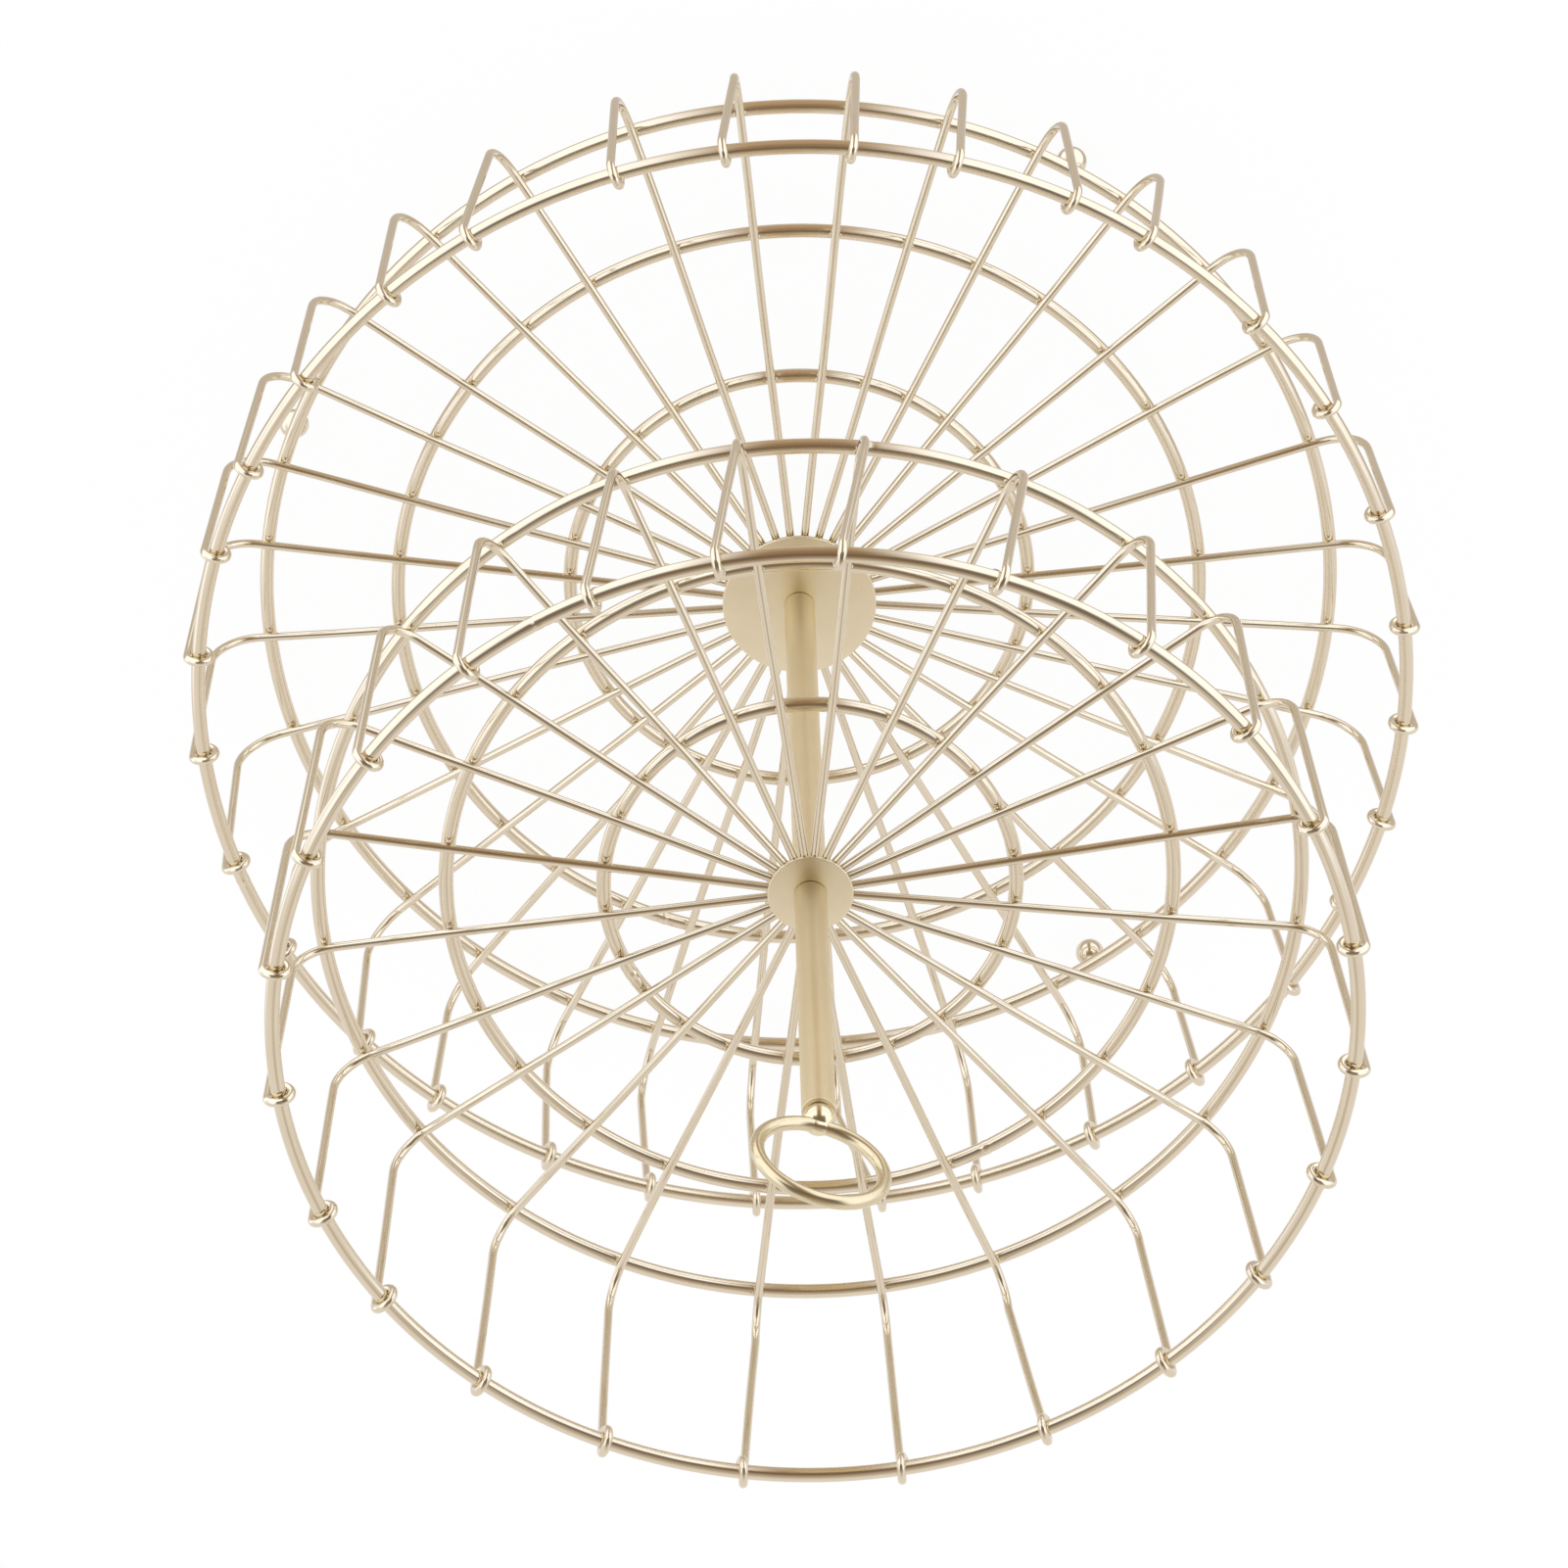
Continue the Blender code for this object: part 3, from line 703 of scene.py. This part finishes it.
def light_tent():
    """Makes the pale tent that the metal sees round the basket: a ball lit from its own surface.

    Only mirrored and transmitted rays meet it. Its light follows two angles about its
    centre. The height angle is atan2(up, away), from the way to the camera over the top
    of the picture, and the side angle is asin(left). It has a dark gap for the camera, two
    bright panels above it with a slit between them, pale walls, and a brighter wall to the
    left. Its levels stay where they are when another view is taken.
    """
    centre = Vector((0.0, 0.0, 0.12))
    reach = 0.5
    top_level = 1.8
    mesh = squashed_ball("light_tent", centre, (reach, reach, reach), 0.0, tent_steps)
    tent = bpy.data.objects.new("light_tent", mesh)
    bpy.context.scene.collection.objects.link(tent)
    tent.visible_camera = False
    tent.visible_diffuse = False
    tent.visible_shadow = False
    material = bpy.data.materials.new("lit_tent_cloth")
    tree, add, link = node_maker(material)
    tree.nodes.remove(tree.nodes["Principled BSDF"])
    where = add("ShaderNodeTexCoord")
    from_centre = add("ShaderNodeVectorMath", operation="SUBTRACT")
    link(where.outputs["Object"], from_centre.inputs[0])
    from_centre.inputs[1].default_value = centre

    def share_along(axis):
        product = add("ShaderNodeVectorMath", operation="DOT_PRODUCT")
        link(from_centre.outputs["Vector"], product.inputs[0])
        product.inputs[1].default_value = axis / reach
        return product.outputs["Value"]

    def maths(operation, first, second=None, third=None):
        node = add("ShaderNodeMath", operation=operation)
        for socket, value in zip(node.inputs, (first, second, third)):
            if isinstance(value, (int, float)):
                socket.default_value = value
            elif value is not None:
                link(value, socket)
        return node.outputs["Value"]

    def column(stops):
        node = add("ShaderNodeValToRGB")
        link(height, node.inputs["Fac"])
        marks = node.color_ramp.elements
        while len(marks) > max(len(stops), 1):
            marks.remove(marks[-1])
        while len(marks) < len(stops):
            marks.new(0.5)
        for mark, (degrees, colour) in zip(marks, stops):
            mark.position = (degrees + 180) / 360
            mark.color = (*[c / top_level for c in colour], 1)
        return node.outputs["Color"]

    height = maths(
        "MULTIPLY_ADD", maths("ARCTAN2", share_along(picture_up), share_along(camera_away)), 1 / TAU, 0.5
    )
    left = maths("ARCSINE", share_along(picture_left))
    aside = {"left": left, "both": maths("ABSOLUTE", left)}
    light = None
    for way, start, end, stops in tent_levels():
        colour = column(stops)
        if light is None:
            light = colour
            continue
        share = add("ShaderNodeMapRange", interpolation_type="SMOOTHSTEP")
        link(aside[way], share.inputs["Value"])
        share.inputs["From Min"].default_value = math.radians(start)
        share.inputs["From Max"].default_value = math.radians(end)
        meeting = add("ShaderNodeMix", data_type="RGBA")
        link(share.outputs["Result"], meeting.inputs["Factor"])
        link(light, meeting.inputs["A"])
        link(colour, meeting.inputs["B"])
        light = meeting.outputs["Result"]
    glow = add("ShaderNodeEmission")
    glow.inputs["Strength"].default_value = top_level
    link(light, glow.inputs["Color"])
    link(glow.outputs["Emission"], tree.nodes["Material Output"].inputs["Surface"])
    material.cycles.emission_sampling = "NONE"
    mesh.materials.append(material)


def paper_floor():
    """Makes the white paper under the basket, which keeps the basket's faint shadow.

    Metal and glass see the tent's own pale lower half through it.
    """
    reach = 4.0
    drop = 0.05 * MM
    glow_share = 0.94
    mesh = bpy.data.meshes.new("paper_floor")
    corners = [(-reach, -reach, -drop), (reach, -reach, -drop), (reach, reach, -drop), (-reach, reach, -drop)]
    mesh.from_pydata(corners, [], [(0, 1, 2, 3)])
    floor = bpy.data.objects.new("paper_floor", mesh)
    bpy.context.scene.collection.objects.link(floor)
    material = bpy.data.materials.new("white_paper")
    tree, add, link = node_maker(material)
    output = tree.nodes["Material Output"]
    tree.nodes.remove(tree.nodes["Principled BSDF"])
    paper = add("ShaderNodeBsdfDiffuse")
    paper.inputs["Color"].default_value = (1.0, 1.0, 1.0, 1.0)
    glow = add("ShaderNodeEmission")
    glow.inputs["Color"].default_value = (1.0, 1.0, 1.0, 1.0)
    clear = add("ShaderNodeBsdfTransparent")
    rays = add("ShaderNodeLightPath")
    share = add("ShaderNodeMath", operation="MULTIPLY")
    link(rays.outputs["Is Camera Ray"], share.inputs[0])
    share.inputs[1].default_value = glow_share
    seen = add("ShaderNodeMixShader")
    link(share.outputs["Value"], seen.inputs["Fac"])
    link(paper.outputs["BSDF"], seen.inputs[1])
    link(glow.outputs["Emission"], seen.inputs[2])
    mirrored = add("ShaderNodeMath", operation="MAXIMUM")
    link(rays.outputs["Is Glossy Ray"], mirrored.inputs[0])
    link(rays.outputs["Is Transmission Ray"], mirrored.inputs[1])
    mixed = add("ShaderNodeMixShader")
    link(mirrored.outputs["Value"], mixed.inputs["Fac"])
    link(seen.outputs["Shader"], mixed.inputs[1])
    link(clear.outputs["BSDF"], mixed.inputs[2])
    link(mixed.outputs["Shader"], output.inputs["Surface"])
    mesh.materials.append(material)


def camera():
    """Places the camera at the photograph's angle: its pitch and roll about the basket's centre."""
    image_pixels = 1601
    focal_pixels = 6500.0
    turn = Vector((0.523132, -0.016760, 0.0))
    offset = Vector((3.8584, -48.4313, 1629.6573)) * MM
    floor_rise = Vector((0.0, 0.0, 9.25)) * MM
    flip = Matrix.Diagonal((1.0, -1.0, -1.0))
    towards = Matrix.Rotation(turn.length, 3, turn.normalized()) @ flip
    eye = -(towards.transposed() @ offset) + floor_rise
    axes = Matrix((towards[0], -towards[1], -towards[2])).transposed()
    data = bpy.data.cameras.new("camera")
    data.sensor_width = 36.0
    data.lens = data.sensor_width * focal_pixels / image_pixels
    data.clip_start = 0.05
    data.clip_end = 50.0
    thing = bpy.data.objects.new("camera", data)
    bpy.context.scene.collection.objects.link(thing)
    thing.matrix_world = Matrix.Translation(eye) @ axes.to_4x4()
    bpy.context.scene.camera = thing


def dress():
    """Makes all pieces and finishes."""
    wire_gold = gold_finish(
        "satin_wire_gold", light=(0.74, 0.66, 0.5), deep=(0.7, 0.615, 0.455),
        roughness=0.09, streaks=(12.0, 18.0), streak_depth=0.03,
    )
    ring_gold = gold_finish(
        "satin_ring_gold", light=(0.735, 0.65, 0.49), deep=(0.7, 0.61, 0.45),
        roughness=0.11, streaks=(60.0, 24.0), streak_depth=0.03,
    )
    plate_gold = gold_finish(
        "satin_plate_gold", light=(0.82, 0.73, 0.515), deep=(0.785, 0.69, 0.48),
        roughness=0.3, streaks=(30.0, 12.0), streak_depth=0.05,
    )
    post_gold = gold_finish(
        "brushed_post_gold", light=(0.765, 0.65, 0.41), deep=(0.745, 0.63, 0.395),
        roughness=0.46, streaks=(1.5, 90.0), streak_depth=0.01,
    )
    mirror_gold = gold_finish(
        "polished_gold", light=(0.77, 0.68, 0.46), deep=(0.75, 0.65, 0.43),
        roughness=0.05, streaks=(9.0, 9.0), streak_depth=0.0,
    )
    handle_gold = gold_finish(
        "satin_handle_gold", light=(0.7, 0.61, 0.4), deep=(0.665, 0.56, 0.35),
        roughness=0.19, streaks=(30.0, 22.0), streak_depth=0.04,
    )
    # The weld beads get a paler, less saturated copy of the gold so that they show as bright specks: a painted
    # highlight.
    weld_highlight_gold = gold_finish(
        "weld_bead_painted_highlight_gold", light=(0.84, 0.765, 0.6), deep=(0.76, 0.68, 0.52),
        roughness=0.38, streaks=(9.0, 9.0), streak_depth=0.0,
    )
    ring_pieces(lower, ring_gold, (("rim", 200.0), ("base", 275.0), ("middle", 250.0), ("inner", 97.0)))
    ring_pieces(upper, ring_gold, (("rim", 120.0), ("base", 84.0), ("middle", 300.0), ("inner", 210.0)))
    spoke_pieces(lower, wire_gold)
    spoke_pieces(upper, wire_gold)
    ring_welds(lower, weld_highlight_gold)
    ring_welds(upper, weld_highlight_gold)
    hub_plates(plate_gold)
    post_pieces(post_gold)
    handle_pieces(mirror_gold, handle_gold)
    foot_pieces(ring_gold)
    zinc = zinc_finish()
    for node in ("base_screw", "base_washer"):
        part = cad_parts[node]
        part.data.materials.clear()
        part.data.materials.append(zinc)


dress()
paper_floor()
plain_world()
light_tent()
camera()
bpy.context.scene.view_settings.view_transform = "Standard"
